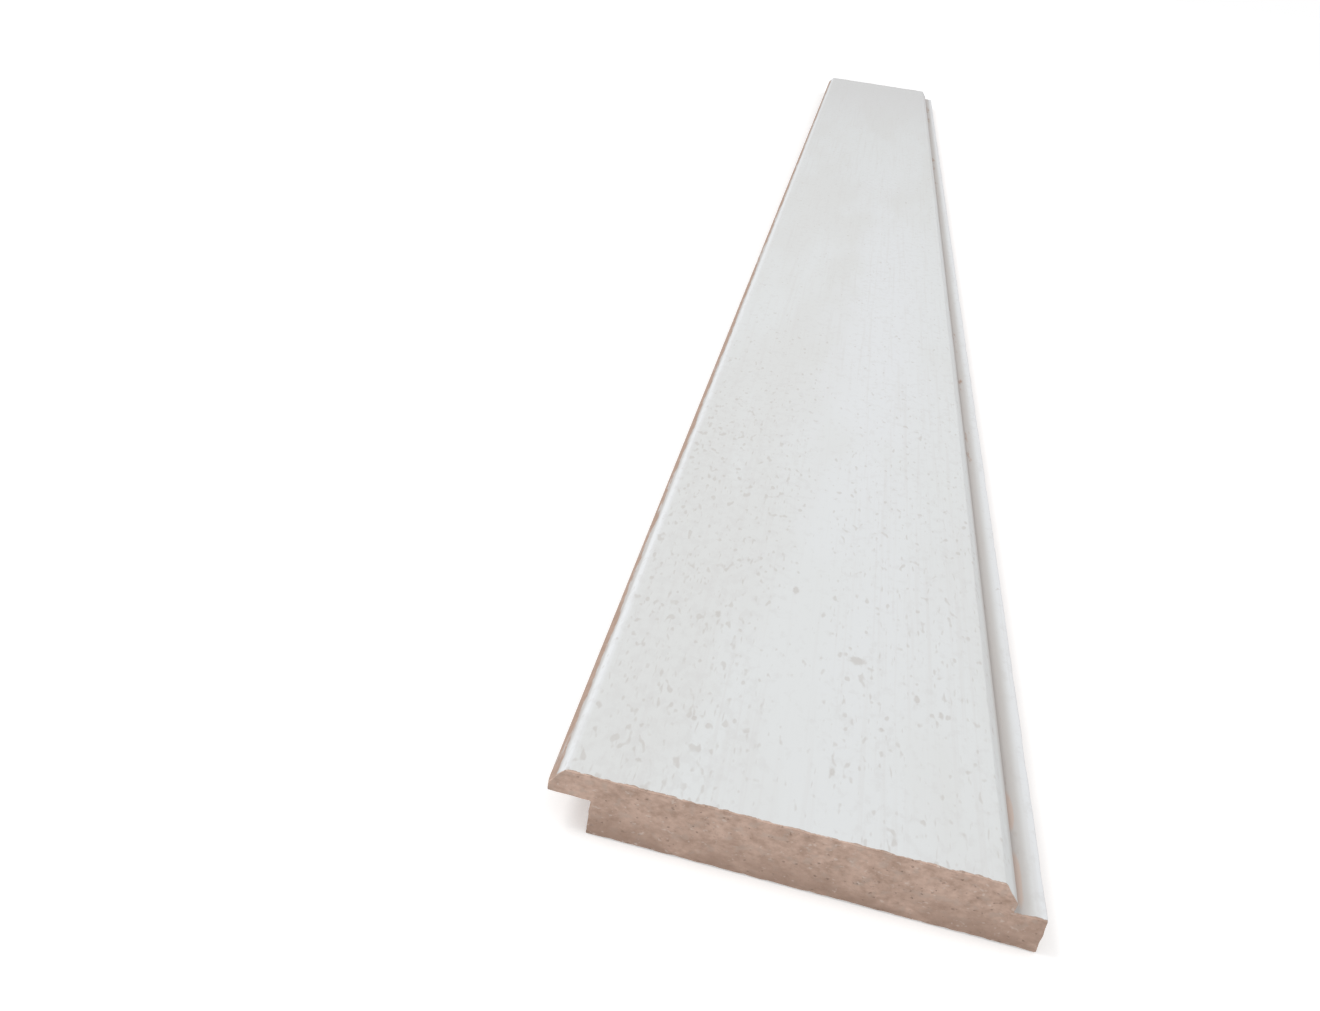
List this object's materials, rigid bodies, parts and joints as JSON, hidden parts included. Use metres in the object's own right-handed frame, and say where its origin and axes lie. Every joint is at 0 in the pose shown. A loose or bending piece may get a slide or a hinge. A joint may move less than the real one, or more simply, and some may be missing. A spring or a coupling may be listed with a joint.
{
  "type": "shiplap cladding board",
  "caption": "Flat painted fibreboard cladding board with a bevelled face edge and a halved shiplap joint along both long edges, so that laid boards meet in a V.",
  "frame": {"origin": "under the middle of the board, on its back", "axes": "+X across the board from the upper lip to the lower lip, +Y along its length, +Z from the back to the painted face"},
  "size_m": [0.108, 1.2, 0.016],
  "materials": {
    "painted_fibreboard": "satin"
  },
  "bodies": {
    "root": {"cladding_board": "painted_fibreboard"}
  },
  "joints": []
}
